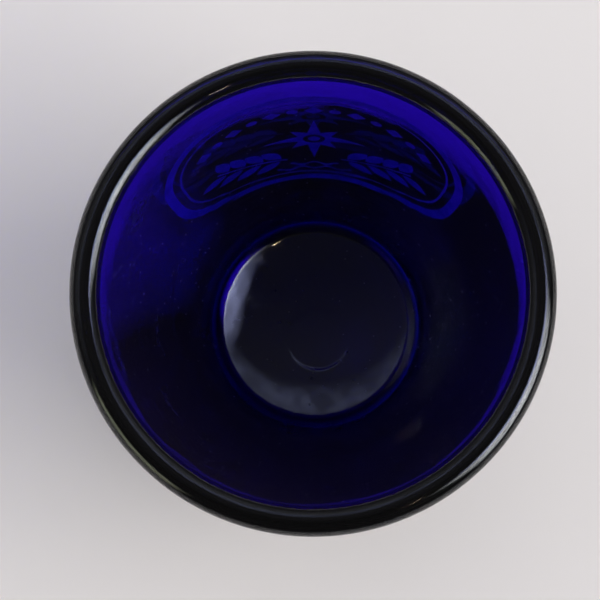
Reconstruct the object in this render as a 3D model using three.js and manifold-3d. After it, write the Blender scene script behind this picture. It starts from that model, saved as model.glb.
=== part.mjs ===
// A small pressed-glass tumbler (a shot glass) with a white enamel badge fired on its front.
// Units are millimetres and +Z is up. The origin is the middle of the foot, and the badge faces -Y.

import * as THREE from 'three';
import { mergeVertices } from 'three/addons/utils/BufferGeometryUtils.js';
import Module from 'manifold-3d';

const wasm = await Module();
wasm.setup();

// Driving dimensions of the glass.
const height = 60;
const rimRadius = 24.5;
const wallLean = Math.tan(THREE.MathUtils.degToRad(6.9));

// The lip is half an ellipse in section, which joins the two walls smoothly.
const lipHalfWidth = 1.55;
const lipHalfHeight = 1.3;
const lipMiddleZ = height - lipHalfHeight;

// Under the foot: a shallow dome inside a flat ring, and a rounded heel.
const puntRadius = 13;
const puntHeight = 0.9;
const heelRound = 1.8;

// Inside: a wall that leans in more and more towards its foot, a fillet and a dished floor.
const innerWallFootZ = 18.4;
const innerWallFootRadius = 13.3;
const floorRadius = 10.5;
const floorZ = 13;
const floorRise = 1.45;

// The enamel badge, as artwork on the outer wall.
const badgeMiddleZ = height - 24.5;
const badgeHalfWidth = 20.8;
const badgeHalfHeight = 14.6;
const frameWidth = 1.4;
const hairlineInset = 2.5;
const hairlineWidth = 0.35;
const inkThickness = 0.15;
const inkGap = 0.03;

// How finely the round stretches are divided.
const turnSteps = 60;
const profileSteps = 4;
const outlineSteps = 48;

const glassMaterial = new THREE.MeshStandardMaterial({ color: 0x10107a, roughness: 0.04, metalness: 0 });
const enamelMaterial = new THREE.MeshStandardMaterial({ color: 0xe9ebef, roughness: 0.5, metalness: 0 });

// Points of the lip's ellipse where it is parallel to a wall of the given lean.
const lipOuterAngle = -Math.atan((lipHalfHeight / lipHalfWidth) * wallLean);
const lipInnerAngle = Math.PI + lipOuterAngle;

function lipPoint(angle) {
  const radius = rimRadius - lipHalfWidth + lipHalfWidth * Math.cos(angle);
  return new THREE.Vector2(radius, lipMiddleZ + lipHalfHeight * Math.sin(angle));
}

// The radius of the outer wall at a height.
function wallRadius(z) {
  const lipFoot = lipPoint(lipOuterAngle);
  return lipFoot.x - wallLean * (lipFoot.y - z);
}

// Turns a profile of radius and height round the vertical axis.
function revolve(profile) {
  return new THREE.LatheGeometry(profile, turnSteps).rotateX(Math.PI / 2);
}

function solid(geometry) {
  const bare = geometry.clone();
  bare.deleteAttribute('normal');
  bare.deleteAttribute('uv');
  const merged = mergeVertices(bare);
  const mesh = new wasm.Mesh({
    numProp: 3,
    vertProperties: new Float32Array(merged.attributes.position.array),
    triVerts: new Uint32Array(merged.index.array),
  });
  return new wasm.Manifold(mesh);
}

function geometryOf(manifold) {
  const mesh = manifold.getMesh();
  const geometry = new THREE.BufferGeometry();
  geometry.setAttribute('position', new THREE.BufferAttribute(mesh.vertProperties, mesh.numProp));
  geometry.setIndex(new THREE.BufferAttribute(mesh.triVerts, 1));
  geometry.computeVertexNormals();
  return geometry;
}

function namedMesh(name, geometry, material) {
  const mesh = new THREE.Mesh(geometry, material);
  mesh.name = name;
  return mesh;
}

// ---- The glass body ----

function underside(outline) {
  outline.moveTo(0, puntHeight);
  outline.quadraticCurveTo(puntRadius / 2, puntHeight, puntRadius, 0);
  const footCorner = wallRadius(0);
  outline.lineTo(footCorner - heelRound, 0);
  outline.quadraticCurveTo(footCorner, 0, wallRadius(heelRound), heelRound);
}

function lip(outline) {
  const start = lipPoint(lipOuterAngle);
  outline.lineTo(start.x, start.y);
  outline.absellipse(
    rimRadius - lipHalfWidth, lipMiddleZ, lipHalfWidth, lipHalfHeight, lipOuterAngle, lipInnerAngle,
  );
}

function inside(outline) {
  const wallTop = lipPoint(lipInnerAngle);
  const wallMiddleZ = (wallTop.y + innerWallFootZ) / 2;
  const wallControlRadius = wallTop.x - wallLean * (wallTop.y - wallMiddleZ);
  outline.quadraticCurveTo(wallControlRadius, wallMiddleZ, innerWallFootRadius, innerWallFootZ);

  // The fillet's control point lies where the wall's slope meets the dished floor's slope.
  const wallSlope = (wallControlRadius - innerWallFootRadius) / (wallMiddleZ - innerWallFootZ);
  const floorSlope = (2 * floorRise) / floorRadius;
  const floorEdgeZ = floorZ + floorRise;
  const wallRadiusAtFloorEdge = innerWallFootRadius - wallSlope * (innerWallFootZ - floorEdgeZ);
  const rise = (floorSlope * (wallRadiusAtFloorEdge - floorRadius)) / (1 - floorSlope * wallSlope);
  outline.quadraticCurveTo(
    wallRadiusAtFloorEdge + wallSlope * rise, floorEdgeZ + rise, floorRadius, floorEdgeZ,
  );
  outline.quadraticCurveTo(floorRadius / 2, floorZ, 0, floorZ);
}

function glassBody() {
  const outline = new THREE.Path();
  underside(outline);
  lip(outline);
  inside(outline);
  return namedMesh('glass_body', revolve(outline.getPoints(profileSteps)), glassMaterial);
}

// ---- The enamel badge ----
// Each island of enamel is drawn flat, as a shape of u along the wall and v up from the badge's
// middle. It is wrapped round the wall as a prism, which cuts the island out of a thin shell.

const cutterReach = 4;

function wrap(u, v, out) {
  const z = badgeMiddleZ + v;
  const azimuth = u / wallRadius(badgeMiddleZ) - Math.PI / 2;
  const radius = wallRadius(z) + out;
  return new THREE.Vector3(radius * Math.cos(azimuth), radius * Math.sin(azimuth), z);
}

function enamelShell() {
  const margin = 1;
  const low = badgeMiddleZ - badgeHalfHeight - margin;
  const high = badgeMiddleZ + badgeHalfHeight + margin;
  const inner = inkGap;
  const outer = inkGap + inkThickness;
  return solid(revolve([
    new THREE.Vector2(wallRadius(low) + inner, low),
    new THREE.Vector2(wallRadius(low) + outer, low),
    new THREE.Vector2(wallRadius(high) + outer, high),
    new THREE.Vector2(wallRadius(high) + inner, high),
    new THREE.Vector2(wallRadius(low) + inner, low),
  ]));
}

const shell = enamelShell();

function island(name, shape, curveSegments = 5) {
  const prism = new THREE.ExtrudeGeometry(shape, { depth: 1, bevelEnabled: false, curveSegments });
  const corners = prism.attributes.position;
  for (let i = 0; i < corners.count; i++) {
    const out = corners.getZ(i) > 0 ? cutterReach : -cutterReach;
    const corner = wrap(corners.getX(i), corners.getY(i), out);
    corners.setXYZ(i, corner.x, corner.y, corner.z);
  }
  return namedMesh(name, geometryOf(shell.intersect(solid(prism))), enamelMaterial);
}

// An oblong with bowed sides and round corners: a superellipse.
function cartouche(inset) {
  const squareness = 3;
  const bow = (t) => Math.sign(t) * Math.abs(t) ** (2 / squareness);
  const points = [];
  for (let i = 0; i < outlineSteps; i++) {
    const angle = (2 * Math.PI * (i + 0.5)) / outlineSteps;
    points.push(new THREE.Vector2(
      (badgeHalfWidth - inset) * bow(Math.cos(angle)),
      (badgeHalfHeight - inset) * bow(Math.sin(angle)),
    ));
  }
  return points;
}

function cartoucheBand(inset, width) {
  const band = new THREE.Shape(cartouche(inset));
  band.holes.push(new THREE.Path(cartouche(inset + width)));
  return band;
}

function frames() {
  return [
    island('badge_frame', cartoucheBand(0, frameWidth)),
    island('badge_hairline', cartoucheBand(hairlineInset, hairlineWidth)),
  ];
}

const starMiddle = new THREE.Vector2(0, -0.6);

function compassStar() {
  const longRay = 6.6;
  const shortRay = 4.2;
  const notch = 2.2;
  const eyeRadius = 1.4;
  const hubRadius = 0.8;
  const rays = 8;
  const points = [];
  for (let i = 0; i < 2 * rays; i++) {
    const isNotch = i % 2 === 1;
    const isLong = i % 4 === 0;
    const reach = isNotch ? notch : isLong ? longRay : shortRay;
    const angle = (Math.PI * i) / rays;
    points.push(new THREE.Vector2(reach * Math.cos(angle), reach * Math.sin(angle)).add(starMiddle));
  }
  const star = new THREE.Shape(points);
  star.holes.push(new THREE.Path().absarc(starMiddle.x, starMiddle.y, eyeRadius, 0, 2 * Math.PI));
  const hub = new THREE.Shape().absarc(starMiddle.x, starMiddle.y, hubRadius, 0, 2 * Math.PI);
  return [island('compass_star', star), island('star_hub', hub)];
}

// A row of small lozenges and round beads in turn, arched over the star. Both are full circles,
// and a circle drawn in two coarse steps for each half comes out as a lozenge.
function beadRow() {
  const beadCount = 13;
  const archRadius = 26;
  const archTop = 9.5;
  const spacing = 2.45;
  const lozengeSize = 1.15;
  const beadSize = 0.7;
  const row = [];
  for (let i = 0; i < beadCount; i++) {
    const angle = ((i - (beadCount - 1) / 2) * spacing) / archRadius;
    const u = archRadius * Math.sin(angle);
    const v = archTop - archRadius * (1 - Math.cos(angle));
    const isLozenge = i % 2 === 0;
    const size = isLozenge ? lozengeSize : beadSize;
    const bead = new THREE.Shape().absarc(u, v, size, 0, 2 * Math.PI);
    const number = String(i + 1).padStart(2, '0');
    row.push(island(`bead_${number}`, bead, isLozenge ? 2 : 6));
  }
  return row;
}

// A pointed leaf that starts at a point and grows in a direction.
function leaf(start, direction, length, halfWidth) {
  const along = new THREE.Vector2(Math.cos(direction), Math.sin(direction));
  const across = new THREE.Vector2(-along.y, along.x);
  const tip = start.clone().addScaledVector(along, length);
  const middle = start.clone().addScaledVector(along, length / 2);
  const left = middle.clone().addScaledVector(across, 2 * halfWidth);
  const right = middle.clone().addScaledVector(across, -2 * halfWidth);
  const shape = new THREE.Shape();
  shape.moveTo(start.x, start.y);
  shape.quadraticCurveTo(right.x, right.y, tip.x, tip.y);
  shape.quadraticCurveTo(left.x, left.y, start.x, start.y);
  return shape;
}

// One spray: a curved stem that rises away from the star, with leaves above and below it.
function spray(side, sideName) {
  const stemRadius = 22;
  const stemBottom = new THREE.Vector2(0, -7.6);
  const stemStart = 0.17;
  const stemEnd = 0.66;
  const stemHalfWidth = 0.2;
  const leafPairs = 4;
  const leafLength = 4.2;
  const leafHalfWidth = 0.95;
  const leafGap = 0.3;
  const leafSpread = 0.7;
  const firstLeaf = 0.35;
  const stemMiddle = new THREE.Vector2(0, stemBottom.y + stemRadius);

  const stemPoint = (angle, radius) => new THREE.Vector2(
    side * radius * Math.sin(angle), stemMiddle.y - radius * Math.cos(angle),
  );
  const stem = [];
  const stemSteps = 8;
  const stemAngle = (t) => stemStart + (stemEnd - stemStart) * t;
  for (let i = 0; i <= stemSteps; i++) {
    stem.push(stemPoint(stemAngle(i / stemSteps), stemRadius + stemHalfWidth));
  }
  for (let i = stemSteps; i >= 0; i--) {
    stem.push(stemPoint(stemAngle(i / stemSteps), stemRadius - stemHalfWidth));
  }
  const islands = [island(`stem_${sideName}`, new THREE.Shape(stem))];

  for (let i = 0; i < leafPairs; i++) {
    const angle = stemAngle((i + firstLeaf) / leafPairs);
    for (const turn of [-1, 1]) {
      const start = stemPoint(angle, stemRadius - turn * (stemHalfWidth + leafGap));
      const growth = angle + turn * leafSpread;
      const direction = side > 0 ? growth : Math.PI - growth;
      const name = `leaf_${sideName}_${turn > 0 ? 'upper' : 'lower'}_${i + 1}`;
      islands.push(island(name, leaf(start, direction, leafLength, leafHalfWidth)));
    }
  }
  return islands;
}

// Two wavy rules under the sprays.
function waves() {
  const stepsPerRipple = 8;
  const crestHeight = 0.4;
  const thickness = 0.5;
  const rules = [
    { name: 'wave_upper', v: -9.2, halfLength: 3.4, ripples: 2 },
    { name: 'wave_lower', v: -10.6, halfLength: 5.4, ripples: 3 },
  ];
  return rules.map(({ name, v, halfLength, ripples }) => {
    const waveSteps = ripples * stepsPerRipple;
    const points = [];
    const edge = (i, offset) => {
      const t = i / waveSteps;
      const crest = crestHeight * Math.cos(2 * Math.PI * ripples * t);
      return new THREE.Vector2(halfLength * (2 * t - 1), v + crest + offset);
    };
    for (let i = 0; i <= waveSteps; i++) {
      points.push(edge(i, -thickness / 2));
    }
    for (let i = waveSteps; i >= 0; i--) {
      points.push(edge(i, thickness / 2));
    }
    return island(name, new THREE.Shape(points));
  });
}

const tumbler = new THREE.Group();
tumbler.add(glassBody(), ...frames(), ...compassStar(), ...beadRow());
tumbler.add(...spray(-1, 'left'), ...spray(1, 'right'), ...waves());

export default tumbler;
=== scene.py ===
"""The looks of a cobalt-blue pressed-glass tumbler with a white enamel badge fired on its front.

A Blender 4.5 script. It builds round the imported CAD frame: metres, +Z up, the badge faces -Y.
Lengths in the shape functions are millimetres, and MM turns them into metres at the end.
"""

import math

import bmesh
import bpy
from mathutils import Matrix, Quaternion, Vector, noise


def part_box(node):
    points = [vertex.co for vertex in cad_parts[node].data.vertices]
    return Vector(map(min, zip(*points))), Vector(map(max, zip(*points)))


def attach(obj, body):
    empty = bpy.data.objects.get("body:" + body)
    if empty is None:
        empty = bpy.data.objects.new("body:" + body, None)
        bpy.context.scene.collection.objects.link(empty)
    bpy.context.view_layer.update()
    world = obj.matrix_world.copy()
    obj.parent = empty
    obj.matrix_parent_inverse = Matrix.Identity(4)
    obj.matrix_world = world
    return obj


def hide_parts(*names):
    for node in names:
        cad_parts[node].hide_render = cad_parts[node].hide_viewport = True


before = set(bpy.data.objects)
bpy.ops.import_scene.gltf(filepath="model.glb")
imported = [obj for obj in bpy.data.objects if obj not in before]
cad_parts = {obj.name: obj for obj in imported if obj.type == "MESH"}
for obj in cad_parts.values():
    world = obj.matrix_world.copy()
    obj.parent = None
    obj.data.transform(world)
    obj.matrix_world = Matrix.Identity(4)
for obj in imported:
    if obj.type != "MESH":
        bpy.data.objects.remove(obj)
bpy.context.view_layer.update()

MM = 0.001

# ---- Driving dimensions of the glass, in millimetres ----

glass_low, glass_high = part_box("glass_body")
HEIGHT = glass_high.z / MM
RIM_RADIUS = (glass_high.x - glass_low.x) / 2 / MM
WALL_LEAN = math.tan(math.radians(6.9))

# The lip is half an ellipse in section, which joins the two walls smoothly.
LIP_HALF_WIDTH = 1.55
LIP_HALF_HEIGHT = 1.3
LIP_MIDDLE_Z = HEIGHT - LIP_HALF_HEIGHT

# Under the foot: a shallow dome, the punt, inside a flat ring, and a rounded heel.
PUNT_RADIUS = 13.0
PUNT_HEIGHT = 0.9
HEEL_ROUND = 1.8

# Inside: a wall, a fillet between its foot and the floor, and a dished floor.
INNER_WALL_FOOT_Z = 18.4
INNER_WALL_FOOT_RADIUS = 13.3
FLOOR_RADIUS = 10.5
FLOOR_Z = 13.0
FLOOR_RISE = 1.45

# The badge: artwork of u along the wall and v up from the badge's middle.
BADGE_MIDDLE_Z = HEIGHT - 24.5
BADGE_HALF_WIDTH = 20.8
BADGE_HALF_HEIGHT = 14.6
FRAME_WIDTH = 1.4
HAIRLINE_INSET = 2.5
HAIRLINE_WIDTH = 0.35

# The enamel film starts just inside the glass, so that it touches it with no air between.
ENAMEL_DEPTH_IN_GLASS = 0.03
ENAMEL_RELIEF = 0.05
ENAMEL_EDGE_ROUND = 0.02

# How finely the glass is divided round its axis, and how close points count as one.
TURN_STEPS = 288
SAME_PLACE = 1e-4


# ---- Mesh helpers ----


def link(name, mesh, material):
    """A new object in the scene, with one material."""
    piece = bpy.data.objects.new(name, mesh)
    bpy.context.scene.collection.objects.link(piece)
    mesh.materials.append(material)
    return piece


def revolve(name, profile, material):
    """A closed body turned round the Z axis from a profile that starts and ends on the axis."""
    bm = bmesh.new()
    rings = []
    for radius, z in profile:
        count = TURN_STEPS if radius > 0 else 1
        ring = []
        for step in range(count):
            angle = 2 * math.pi * step / TURN_STEPS
            ring.append(bm.verts.new((radius * math.cos(angle), radius * math.sin(angle), z)))
        rings.append(ring)
    for low, high in zip(rings, rings[1:]):
        for step in range(TURN_STEPS):
            following = (step + 1) % TURN_STEPS
            corners = [low[step % len(low)], low[following % len(low)]]
            corners += [high[following % len(high)], high[step % len(high)]]
            bm.faces.new(list(dict.fromkeys(corners)))
    bmesh.ops.recalc_face_normals(bm, faces=bm.faces)
    mesh = bpy.data.meshes.new(name)
    bm.to_mesh(mesh)
    bm.free()
    mesh.shade_smooth()
    return link(name, mesh, material)


def quadratic(start, control, end, steps):
    """Points of a quadratic Bezier curve, without its first point."""
    points = []
    for step in range(1, steps + 1):
        t = step / steps
        a, b, c = (1 - t) ** 2, 2 * t * (1 - t), t * t
        points.append(tuple(a * p + b * q + c * r for p, q, r in zip(start, control, end)))
    return points


# ---- Shape of the glass body ----


def lip_point(angle):
    """The radius and height of a point on the lip's ellipse."""
    radius = RIM_RADIUS - LIP_HALF_WIDTH + LIP_HALF_WIDTH * math.cos(angle)
    return radius, LIP_MIDDLE_Z + LIP_HALF_HEIGHT * math.sin(angle)


LIP_OUTER_ANGLE = -math.atan(LIP_HALF_HEIGHT / LIP_HALF_WIDTH * WALL_LEAN)
LIP_INNER_ANGLE = math.pi + LIP_OUTER_ANGLE


def wall_radius(z):
    """The radius of the outer wall at a height."""
    radius, lip_foot_z = lip_point(LIP_OUTER_ANGLE)
    return radius - WALL_LEAN * (lip_foot_z - z)


def underside_points():
    """From the axis outwards: the punt, the flat ring and the heel."""
    points = [(0.0, PUNT_HEIGHT)]
    dome_side = (PUNT_RADIUS / 2, PUNT_HEIGHT)
    points += quadratic((0, PUNT_HEIGHT), dome_side, (PUNT_RADIUS, 0), steps=14)
    corner = wall_radius(0)
    ring_edge = corner - HEEL_ROUND
    heel_top = (wall_radius(HEEL_ROUND), HEEL_ROUND)
    points.append((ring_edge, 0.0))
    points += quadratic((ring_edge, 0), (corner, 0), heel_top, steps=10)
    return points


def wall_and_lip_points():
    """Up the outer wall from the heel, and over the lip."""
    wall_steps = 30
    lip_steps = 32
    top = lip_point(LIP_OUTER_ANGLE)[1]
    points = []
    for step in range(1, wall_steps):
        z = HEEL_ROUND + (top - HEEL_ROUND) * step / wall_steps
        points.append((wall_radius(z), z))
    for step in range(lip_steps + 1):
        turn = step / lip_steps
        points.append(lip_point(LIP_OUTER_ANGLE + (LIP_INNER_ANGLE - LIP_OUTER_ANGLE) * turn))
    return points


def inside_points():
    """The inner wall leans in more and more below the lip, down to a fillet and a dished floor."""
    top = lip_point(LIP_INNER_ANGLE)
    wall_foot = (INNER_WALL_FOOT_RADIUS, INNER_WALL_FOOT_Z)
    middle_z = (top[1] + INNER_WALL_FOOT_Z) / 2
    wall_control = (top[0] - WALL_LEAN * (top[1] - middle_z), middle_z)
    points = quadratic(top, wall_control, wall_foot, steps=150)

    # The fillet's control point lies where the wall's slope meets the dished floor's slope.
    wall_slope = (wall_control[0] - wall_foot[0]) / (middle_z - INNER_WALL_FOOT_Z)
    floor_slope = 2 * FLOOR_RISE / FLOOR_RADIUS
    edge_z = FLOOR_Z + FLOOR_RISE
    wall_at_edge = INNER_WALL_FOOT_RADIUS - wall_slope * (INNER_WALL_FOOT_Z - edge_z)
    rise = floor_slope * (wall_at_edge - FLOOR_RADIUS) / (1 - floor_slope * wall_slope)
    control = (wall_at_edge + wall_slope * rise, edge_z + rise)
    floor_edge = (FLOOR_RADIUS, edge_z)
    points += quadratic(wall_foot, control, floor_edge, steps=14)
    points += quadratic(floor_edge, (FLOOR_RADIUS / 2, FLOOR_Z), (0.0, FLOOR_Z), steps=80)
    return points


def swell(amount, middle, half_width):
    """1 at the middle of a range, falling smoothly to 0 at half its width away."""
    away = min(1.0, abs(amount - middle) / half_width)
    return (1 - away * away) ** 2


def ripple(point, depth, length):
    """Smooth noise of up to a depth either way, with its waves about a length apart."""
    return depth * noise.noise(point / length)


def plunger_rings(point):
    """Faint rings low on the inner wall, deeper on some sides than on others."""
    depth, pitch = 0.014, 1.7
    middle_z, half_width = 25, 12
    unevenness = 0.5 + ripple(Vector((point.x, point.y, 0)), depth=1, length=9)
    phase = 2 * math.pi * point.z / pitch + ripple(point, depth=3, length=12)
    return depth * swell(point.z, middle_z, half_width) * unevenness * math.sin(phase)


def plunger_mark(point):
    """A shallow round step that the plunger's tip left in the floor, a little off its middle."""
    middle_x, middle_y = -0.3, 1.7
    radius, edge_width, depth = 3.8, 0.6, 0.05
    if point.z >= FLOOR_Z + FLOOR_RISE:
        return 0
    from_middle = math.hypot(point.x - middle_x, point.y - middle_y)
    sunk = min(1.0, max(0.0, (radius - from_middle) / edge_width))
    return -depth * sunk * sunk * (3 - 2 * sunk)


def surface_play(point):
    """How far, in millimetres, moulding and fire-polishing left the surface off its true shape."""
    left_on_lip = 0.15
    fade_depth = 3
    below_lip = min(1.0, max(0.0, (LIP_MIDDLE_Z - point.z) / fade_depth))
    share = left_on_lip + (1 - left_on_lip) * below_lip
    radius = math.hypot(point.x, point.y)
    is_outside = radius > wall_radius(point.z) - LIP_HALF_WIDTH
    if is_outside:
        above_foot = min(1.0, point.z / HEEL_ROUND)
        return share * above_foot * ripple(point, depth=0.012, length=7)
    waves = ripple(point, depth=0.02, length=6) + ripple(point, depth=0.006, length=2.2)
    return share * waves + plunger_rings(point) + plunger_mark(point)


def make_glass_body(material):
    profile = underside_points() + wall_and_lip_points() + inside_points()
    piece = revolve("cobalt_glass_body", profile, material)
    outward = [vertex.normal.copy() for vertex in piece.data.vertices]
    for vertex, normal in zip(piece.data.vertices, outward):
        if vertex.co.z > 0:
            vertex.co += normal * surface_play(vertex.co)
        vertex.co *= MM
    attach(piece, "root")
    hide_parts("glass_body")


# ---- Artwork of the badge, in millimetres ----
# Each function named after an artwork gives {CAD node: [outline, hole, ...]}.


def circle(middle_u, middle_v, radius, steps=28):
    turns = [2 * math.pi * step / steps for step in range(steps)]
    return [(middle_u + radius * math.cos(t), middle_v + radius * math.sin(t)) for t in turns]


def cartouche(inset):
    """An oblong with bowed sides and round corners: a superellipse."""
    squareness = 3
    steps = 216
    outline = []
    for step in range(steps):
        angle = 2 * math.pi * (step + 0.5) / steps
        across = math.copysign(abs(math.cos(angle)) ** (2 / squareness), math.cos(angle))
        up = math.copysign(abs(math.sin(angle)) ** (2 / squareness), math.sin(angle))
        outline.append(((BADGE_HALF_WIDTH - inset) * across, (BADGE_HALF_HEIGHT - inset) * up))
    return outline


def frame_artwork():
    hairline = [cartouche(HAIRLINE_INSET), cartouche(HAIRLINE_INSET + HAIRLINE_WIDTH)]
    return {"badge_frame": [cartouche(0), cartouche(FRAME_WIDTH)], "badge_hairline": hairline}


def star_artwork():
    """A compass star with four long and four short rays, and a hub inside its round eye."""
    middle_v = -0.6
    ray_count = 8
    long_ray, short_ray, notch = 6.6, 4.2, 2.2
    eye_radius, hub_radius = 1.4, 0.8
    outline = []
    for ray in range(ray_count):
        reach = short_ray if ray % 2 else long_ray
        tip_angle = 2 * math.pi * ray / ray_count
        notch_angle = tip_angle + math.pi / ray_count
        for radius, angle in ((reach, tip_angle), (notch, notch_angle)):
            outline.append((radius * math.cos(angle), middle_v + radius * math.sin(angle)))
    return {
        "compass_star": [outline, circle(0, middle_v, eye_radius)],
        "star_hub": [circle(0, middle_v, hub_radius)],
    }


def bead_artwork():
    """A row of lozenges and round beads in turn, arched over the star."""
    bead_count = 13
    arch_radius, arch_top = 26, 9.5
    spacing = 2.45
    lozenge_size, bead_size = 1.15, 0.7
    row = {}
    for bead in range(bead_count):
        angle = (bead - (bead_count - 1) / 2) * spacing / arch_radius
        u = arch_radius * math.sin(angle)
        v = arch_top - arch_radius * (1 - math.cos(angle))
        outline = circle(u, v, bead_size) if bead % 2 else circle(u, v, lozenge_size, steps=4)
        row[f"bead_{bead + 1:02d}"] = [outline]
    return row


def leaf(start, heading, length, half_width):
    """A pointed leaf that starts at a point and grows along a heading, in radians."""
    steps = 10
    along = Vector((math.cos(heading), math.sin(heading)))
    across = Vector((-along.y, along.x))
    start = Vector(start)
    middle = start + along * length / 2
    tip = start + along * length
    right = quadratic(start, middle - across * 2 * half_width, tip, steps)
    left = quadratic(tip, middle + across * 2 * half_width, start, steps)
    return right + left


def spray_artwork(side, side_name):
    """A curved stem that rises away from the star, with leaves above and below it."""
    stem_radius, stem_lowest = 22, -7.6
    stem_start, stem_end = 0.17, 0.66
    stem_half_width = 0.2
    leaf_pairs = 4
    first_leaf = 0.35
    leaf_length, leaf_half_width = 4.2, 0.95
    leaf_gap, leaf_spread = 0.3, 0.7
    stem_steps = 24

    def stem_point(t, offset):
        angle = stem_start + (stem_end - stem_start) * t
        radius = stem_radius + offset
        return side * radius * math.sin(angle), stem_lowest + stem_radius - radius * math.cos(angle)

    ticks = [step / stem_steps for step in range(stem_steps + 1)]
    stem = [stem_point(t, stem_half_width) for t in ticks]
    stem += [stem_point(t, -stem_half_width) for t in reversed(ticks)]
    artwork = {f"stem_{side_name}": [stem]}
    for pair in range(leaf_pairs):
        t = (pair + first_leaf) / leaf_pairs
        for turn, row in ((-1, "lower"), (1, "upper")):
            start = stem_point(t, -turn * (stem_half_width + leaf_gap))
            growth = stem_start + (stem_end - stem_start) * t + turn * leaf_spread
            heading = growth if side > 0 else math.pi - growth
            outline = leaf(start, heading, leaf_length, leaf_half_width)
            artwork[f"leaf_{side_name}_{row}_{pair + 1}"] = [outline]
    return artwork


def wave(middle_v, half_length, ripples):
    """A wavy rule, as a band of even thickness."""
    steps_per_ripple = 20
    steps = steps_per_ripple * ripples
    crest, thickness = 0.4, 0.5
    line = []
    for step in range(steps + 1):
        t = step / steps
        v = middle_v + crest * math.cos(2 * math.pi * ripples * t)
        line.append((half_length * (2 * t - 1), v))
    under = [(u, v - thickness / 2) for u, v in line]
    over = [(u, v + thickness / 2) for u, v in reversed(line)]
    return under + over


def badge_artwork():
    artwork = {**frame_artwork(), **star_artwork(), **bead_artwork()}
    artwork.update(spray_artwork(-1, "left"))
    artwork.update(spray_artwork(1, "right"))
    artwork["wave_upper"] = [wave(middle_v=-9.2, half_length=3.4, ripples=2)]
    artwork["wave_lower"] = [wave(middle_v=-10.6, half_length=5.4, ripples=3)]
    return artwork


# ---- The enamel pieces ----


def flat_film(outlines):
    """A thin plate with rounded edges, from outlines in the XY plane, as a mesh in millimetres."""
    curve = bpy.data.curves.new("film", "CURVE")
    curve.dimensions = "2D"
    curve.fill_mode = "BOTH"
    half_thickness = (ENAMEL_DEPTH_IN_GLASS + ENAMEL_RELIEF) / 2
    curve.extrude = half_thickness - ENAMEL_EDGE_ROUND
    curve.bevel_depth = ENAMEL_EDGE_ROUND
    curve.bevel_resolution = 1
    curve.offset = -ENAMEL_EDGE_ROUND
    for outline in outlines:
        spline = curve.splines.new("POLY")
        spline.points.add(len(outline) - 1)
        for point, (u, v) in zip(spline.points, outline):
            point.co = (u, v, 0, 1)
        spline.use_cyclic_u = True
    holder = bpy.data.objects.new("film", curve)
    mesh = bpy.data.meshes.new_from_object(holder)
    bpy.data.objects.remove(holder)
    bpy.data.curves.remove(curve)
    return mesh


def slice_upright(bm):
    """Cuts a flat mesh with upright planes, so that it can bend round the wall smoothly."""
    spacing = 1.0
    first = math.floor(min(vertex.co.x for vertex in bm.verts) / spacing)
    last = math.ceil(max(vertex.co.x for vertex in bm.verts) / spacing)
    for cut in range(first, last + 1):
        everything = bm.verts[:] + bm.edges[:] + bm.faces[:]
        plane = {"plane_co": (cut * spacing, 0, 0), "plane_no": (1, 0, 0)}
        bmesh.ops.bisect_plane(bm, geom=everything, dist=SAME_PLACE, **plane)


def wrap(point):
    """Bends a point of the flat artwork round the front of the glass."""
    z = BADGE_MIDDLE_Z + point.y
    azimuth = point.x / wall_radius(BADGE_MIDDLE_Z) - math.pi / 2
    out = point.z + (ENAMEL_RELIEF - ENAMEL_DEPTH_IN_GLASS) / 2
    radius = wall_radius(z) + out
    return Vector((radius * math.cos(azimuth), radius * math.sin(azimuth), z)) * MM


def make_enamel_piece(node, outlines, material):
    bm = bmesh.new()
    bm.from_mesh(flat_film(outlines))
    bmesh.ops.remove_doubles(bm, verts=bm.verts, dist=SAME_PLACE)
    slice_upright(bm)
    for vertex in bm.verts:
        vertex.co = wrap(vertex.co)
    bmesh.ops.recalc_face_normals(bm, faces=bm.faces)
    mesh = bpy.data.meshes.new(node)
    bm.to_mesh(mesh)
    bm.free()
    piece = link(f"enamel_{node}", mesh, material)
    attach(piece, "root")
    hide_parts(node)


# ---- Materials ----
# Node trees work in metres, so a texture's scale in object space is in features per metre.


def new_material(name):
    """A node material. Returns it with its node tree and its Principled shader."""
    material = bpy.data.materials.new(name)
    material.use_nodes = True
    return material, material.node_tree, material.node_tree.nodes["Principled BSDF"]


def set_inputs(node, values):
    for socket, value in values.items():
        node.inputs[socket].default_value = value


def coordinates(tree, space="Object"):
    return tree.nodes.new("ShaderNodeTexCoord").outputs[space]


def split_coordinates(tree, space="Object"):
    """The X, Y and Z of the shaded point in a space."""
    parts = tree.nodes.new("ShaderNodeSeparateXYZ")
    tree.links.new(coordinates(tree, space), parts.inputs[0])
    return parts.outputs


def noise_texture(tree, scale, detail=2.0, roughness=0.5, space="Object"):
    texture = tree.nodes.new("ShaderNodeTexNoise")
    set_inputs(texture, {"Scale": scale, "Detail": detail, "Roughness": roughness})
    tree.links.new(coordinates(tree, space), texture.inputs["Vector"])
    return texture.outputs["Fac"]


def speckle(tree, scale):
    """The distance from the nearest of many scattered points, small only at the points."""
    texture = tree.nodes.new("ShaderNodeTexVoronoi")
    set_inputs(texture, {"Scale": scale})
    tree.links.new(coordinates(tree), texture.inputs["Vector"])
    return texture.outputs["Distance"]


def remap(tree, value, from_range, to_range=(0, 1)):
    """Stretches one range to another, and holds a value outside the first one at its end."""
    node = tree.nodes.new("ShaderNodeMapRange")
    node.inputs["From Min"].default_value, node.inputs["From Max"].default_value = from_range
    node.inputs["To Min"].default_value, node.inputs["To Max"].default_value = to_range
    tree.links.new(value, node.inputs["Value"])
    return node.outputs["Result"]


def calculate(tree, operation, *values):
    node = tree.nodes.new("ShaderNodeMath")
    node.operation = operation
    for value, socket in zip(values, node.inputs):
        tree.links.new(value, socket)
    return node.outputs[0]


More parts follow.
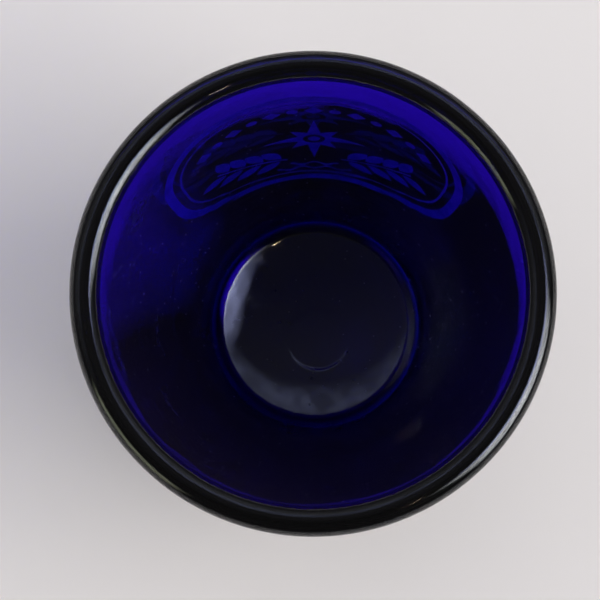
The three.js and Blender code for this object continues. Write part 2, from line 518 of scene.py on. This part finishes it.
def multiply(tree, *values):
    product = values[0]
    for value in values[1:]:
        product = calculate(tree, "MULTIPLY", product, value)
    return product


def mix_colours(tree, factor, *colours):
    """Mixes two colours, each a fixed RGBA value or another node's output."""
    node = tree.nodes.new("ShaderNodeMix")
    node.data_type = "RGBA"
    for socket, colour in zip(node.inputs[6:8], colours):
        if isinstance(colour, tuple):
            socket.default_value = colour
        else:
            tree.links.new(colour, socket)
    tree.links.new(factor, node.inputs[0])
    return node.outputs[2]


def bump(tree, height, distance):
    node = tree.nodes.new("ShaderNodeBump")
    set_inputs(node, {"Distance": distance})
    tree.links.new(height, node.inputs["Height"])
    return node.outputs["Normal"]


def inner_surface(tree):
    """1 on the inside, below the lip, and 0 on the lip and the outside.

    The wall's lean is taken off the radius, so that one limit holds at every height.
    """
    x, y, z = split_coordinates(tree)
    squares = calculate(tree, "ADD", multiply(tree, x, x), multiply(tree, y, y))
    radius = calculate(tree, "SQRT", squares)
    lean = remap(tree, z, (0, 1), (0, WALL_LEAN))
    upright_radius = calculate(tree, "SUBTRACT", radius, lean)
    inner_limit, outer_limit = wall_radius(0) - 1.3, wall_radius(0) - 0.9
    within = remap(tree, upright_radius, (outer_limit * MM, inner_limit * MM))
    below_lip = remap(tree, z, (0.057, 0.054))
    return multiply(tree, within, below_lip)


def pressed_skin(tree):
    """Patchy dullness where the plunger pressed the glass, strongest just above the floor."""
    z = split_coordinates(tree)[2]
    fillet_dullness = 0.19
    dullness = remap(tree, z, (0.050, 0.017), (0, fillet_dullness))
    above_floor = remap(tree, z, (0.0142, 0.0152), (0.2, 1))
    patchy = remap(tree, noise_texture(tree, 300, detail=5), (0.35, 0.65), (0.4, 1.5))
    return multiply(tree, dullness, above_floor, patchy)


def finger_smudges(tree):
    """Blotches, heaviest on the glass's +X side."""
    x = split_coordinates(tree)[0]
    heaviness = remap(tree, x, (-0.002, 0.016), (0.06, 0.5))
    blotches = remap(tree, noise_texture(tree, 155, detail=7, roughness=0.7), (0.52, 0.70))
    return multiply(tree, blotches, heaviness)


def dust(tree):
    """Small scattered specks, nearly matt."""
    speck_dullness = 0.8
    return remap(tree, speckle(tree, 640), (0.08, 0.05), (0, speck_dullness))


def absorb(tree, per_metre):
    """Fills the body with a medium that takes up red, green and blue light at these rates."""
    # A little above the highest rate, so that no part of the medium's colour is quite 0.
    density = max(per_metre) * 1.02
    passed = [1 - rate / density for rate in per_metre]
    absorption = tree.nodes.new("ShaderNodeVolumeAbsorption")
    set_inputs(absorption, {"Color": (*passed, 1), "Density": density})
    tree.links.new(absorption.outputs[0], tree.nodes["Material Output"].inputs["Volume"])


def make_cobalt_glass():
    """Glass that passes blue and a little red: fire-polished outside, with a duller skin inside."""
    material, tree, shader = new_material("cobalt_glass")
    look = {
        "Base Color": (1, 1, 1, 1),
        "Transmission Weight": 1.0,
        "IOR": 1.52,
        "Sheen Weight": 0.011,
        "Sheen Roughness": 0.6,
        "Sheen Tint": (0.85, 0.66, 1, 1),
    }
    set_inputs(shader, look)
    inside = inner_surface(tree)
    roughness = pressed_skin(tree)
    for marks in (finger_smudges(tree), dust(tree)):
        roughness = calculate(tree, "MAXIMUM", roughness, marks)
    tree.links.new(multiply(tree, roughness, inside), shader.inputs["Roughness"])
    stains = multiply(tree, noise_texture(tree, 650, detail=5, roughness=0.6), inside)
    tree.links.new(bump(tree, stains, distance=0.003 * MM), shader.inputs["Normal"])
    absorb(tree, per_metre=(920, 1600, 104))
    return material


def make_white_enamel():
    """Fired enamel: satin white with a fine grain, thinner in places so that it looks greyer."""
    material, tree, shader = new_material("white_enamel")
    thick_colour, thin_colour = (0.82, 0.84, 0.87, 1), (0.50, 0.53, 0.60, 1)
    scattering = {
        "Subsurface Weight": 1.0,
        "Subsurface Radius": (1, 1, 1),
        "Subsurface Scale": 0.3 * MM,
    }
    set_inputs(shader, scattering)
    grain = noise_texture(tree, 2600, detail=3)
    thinness = remap(tree, noise_texture(tree, 420, detail=4, roughness=0.6), (0.42, 0.66))
    colour = mix_colours(tree, thinness, thick_colour, thin_colour)
    tree.links.new(colour, shader.inputs["Base Color"])
    tree.links.new(remap(tree, grain, (0.3, 0.7), (0.38, 0.6)), shader.inputs["Roughness"])
    tree.links.new(bump(tree, grain, distance=0.01 * MM), shader.inputs["Normal"])
    return material


def make_pale_floor():
    """A matt, nearly white table top, very slightly mottled."""
    material, tree, shader = new_material("pale_floor")
    mottle = noise_texture(tree, 60, detail=5)
    colour = mix_colours(tree, mottle, (0.74, 0.715, 0.695, 1), (0.77, 0.745, 0.725, 1))
    tree.links.new(colour, shader.inputs["Base Color"])
    set_inputs(shader, {"Roughness": 0.9, "Specular IOR Level": 0.2})
    return material


# ---- Stage, lights and camera ----
# A direction is a bearing and an elevation above the horizon, both in degrees. Seen from above,
# the bearing is counted clockwise from +Y, the back of the glass.


def direction(bearing, elevation):
    b, e = math.radians(bearing), math.radians(elevation)
    return Vector((math.sin(b) * math.cos(e), math.cos(b) * math.cos(e), math.sin(e)))


def make_floor():
    bpy.ops.mesh.primitive_plane_add(size=3.2, location=(0, 0, 0))
    floor = bpy.context.object
    floor.name = "floor"
    floor.data.materials.append(make_pale_floor())


def soften_edges(data, even_part):
    """Dims an area light towards its edges, outside its even part, and makes it a bit uneven."""
    data.use_nodes = True
    tree = data.node_tree
    streaks = noise_texture(tree, 7, detail=6, roughness=0.6, space="UV")
    strength = remap(tree, streaks, (0.35, 0.65), (0.55, 1.3))
    for place in split_coordinates(tree, "UV")[:2]:
        off_middle = remap(tree, place, (0, 1), (-1, 1))
        squared = multiply(tree, off_middle, off_middle)
        strength = multiply(tree, strength, remap(tree, squared, (1, even_part**2)))
    tree.links.new(strength, tree.nodes["Emission"].inputs["Strength"])


def add_softbox(name, way, distance, size, watts, colour, roll=0, even_part=0.63):
    """A rectangular light at a distance from the rim's middle, turned towards it."""
    data = bpy.data.lights.new(name, "AREA")
    data.shape = "RECTANGLE"
    data.size, data.size_y = size
    data.energy = watts
    data.color = colour
    soften_edges(data, even_part)
    light = bpy.data.objects.new(name, data)
    bpy.context.scene.collection.objects.link(light)
    light.location = Vector((0, 0, HEIGHT * MM)) + way * distance
    light.rotation_mode = "QUATERNION"
    facing = (-way).to_track_quat("-Z", "Y")
    light.rotation_quaternion = facing @ Quaternion((0, 0, 1), math.radians(roll))
    light.visible_camera = False
    return light


def make_openings():
    """Bright openings in the room, which only glossy and clear surfaces show."""
    openings = [
        add_softbox(
            "window",
            direction(-68, 41),
            distance=1.5,
            size=(1.2, 1.2),
            watts=51,
            colour=(0.93, 0.96, 1.0),
            even_part=0,
        ),
        add_softbox(
            "window_top",
            direction(-78, 60),
            distance=1.5,
            size=(1.05, 0.4),
            watts=9.5,
            colour=(0.5, 0.55, 0.95),
            roll=-3,
            even_part=0,
        ),
        add_softbox(
            "screen",
            direction(54, 25),
            distance=1.6,
            size=(1.0, 0.8),
            watts=5,
            colour=(0.95, 1.0, 0.72),
        ),
        add_softbox(
            "lamp",
            direction(-29, 64),
            distance=1.5,
            size=(0.09, 0.03),
            watts=0.28,
            colour=(1.0, 0.75, 0.5),
        ),
    ]
    for light in openings:
        light.visible_diffuse = False


def make_soft_sources():
    """Large soft lights, which only matt surfaces show."""
    soft_sources = [
        add_softbox(
            "ceiling",
            direction(165, 84),
            distance=2.0,
            size=(3.4, 3.4),
            watts=48,
            colour=(1.0, 0.99, 0.985),
        ),
        add_softbox(
            "side",
            direction(-80, 45),
            distance=2.0,
            size=(1.8, 1.8),
            watts=45,
            colour=(1.0, 0.97, 0.965),
        ),
    ]
    for light in soft_sources:
        light.visible_glossy = False
        light.visible_transmission = False


def alignment(tree, way):
    """The cosine of the angle between the direction looked in and a fixed one."""
    product = tree.nodes.new("ShaderNodeVectorMath")
    product.operation = "DOT_PRODUCT"
    tree.links.new(coordinates(tree, "Generated"), product.inputs[0])
    product.inputs[1].default_value = way
    return product.outputs["Value"]


def front_glow(tree, in_front):
    """How strong the light high up in front is: broken up by clutter, and weaker towards +X."""
    x, _, z = split_coordinates(tree, "Generated")
    risen = remap(tree, z, (0.40, 0.70))
    below_zenith = remap(tree, alignment(tree, direction(0, 82)), (0.80, 0.855), (1, 0))
    one_side = remap(tree, x, (-0.45, 0.35), (1, 0.5))
    clutter = noise_texture(tree, 12, detail=5, roughness=0.65, space="Generated")
    broken_up = remap(tree, clutter, (0.4, 0.6), (0.4, 1.2))
    return multiply(tree, in_front, risen, below_zenith, one_side, broken_up)


def make_surroundings():
    """A dim room: bluish light high up in front, dark behind and overhead, a pale horizon."""
    dark_behind, dark_in_front = (0.07, 0.07, 0.07, 1), (0.13, 0.13, 0.14, 1)
    lower_glow, upper_glow = (0.58, 0.61, 0.68, 1), (0.82, 0.92, 1.5, 1)
    pale_horizon = (0.62, 0.62, 0.63, 1)
    world = bpy.data.worlds.new("surroundings")
    bpy.context.scene.world = world
    world.use_nodes = True
    tree = world.node_tree
    z = split_coordinates(tree, "Generated")[2]
    in_front = remap(tree, alignment(tree, direction(171, 0)), (-0.15, 0.25))
    glow_colour = mix_colours(tree, remap(tree, z, (0.72, 0.86)), lower_glow, upper_glow)
    colour = mix_colours(tree, in_front, dark_behind, dark_in_front)
    colour = mix_colours(tree, front_glow(tree, in_front), colour, glow_colour)
    near_horizon = remap(tree, z, (0.17, 0.12))
    colour = mix_colours(tree, near_horizon, colour, pale_horizon)
    tree.links.new(colour, tree.nodes["Background"].inputs["Color"])


def make_camera():
    """Almost straight above, leaning back a little, so that the inside of the front wall shows."""
    above_rim = 12 * RIM_RADIUS
    behind, left = 24.3, 1.8
    aim_right, aim_behind = 1.28, 0.88
    aim = Vector((aim_right, aim_behind, HEIGHT)) * MM
    data = bpy.data.cameras.new("camera")
    camera = bpy.data.objects.new("camera", data)
    bpy.context.scene.collection.objects.link(camera)
    camera.location = Vector((-left, behind, HEIGHT + above_rim)) * MM
    looking = (aim - camera.location).normalized()
    back = -looking
    right = Vector((0, -1, 0)).cross(back).normalized()
    up = back.cross(right)
    turn = Matrix((right, up, back)).transposed()
    camera.rotation_mode = "QUATERNION"
    camera.rotation_quaternion = turn.to_quaternion()
    data.sensor_width = 36
    data.lens = 177
    data.clip_start = 0.01
    bpy.context.scene.camera = camera


# ---- Build ----

make_camera()
make_glass_body(make_cobalt_glass())
white_enamel = make_white_enamel()
for cad_node, artwork_outlines in badge_artwork().items():
    make_enamel_piece(cad_node, artwork_outlines, white_enamel)
make_floor()
make_openings()
make_soft_sources()
make_surroundings()
bpy.context.scene.view_settings.view_transform = "Standard"
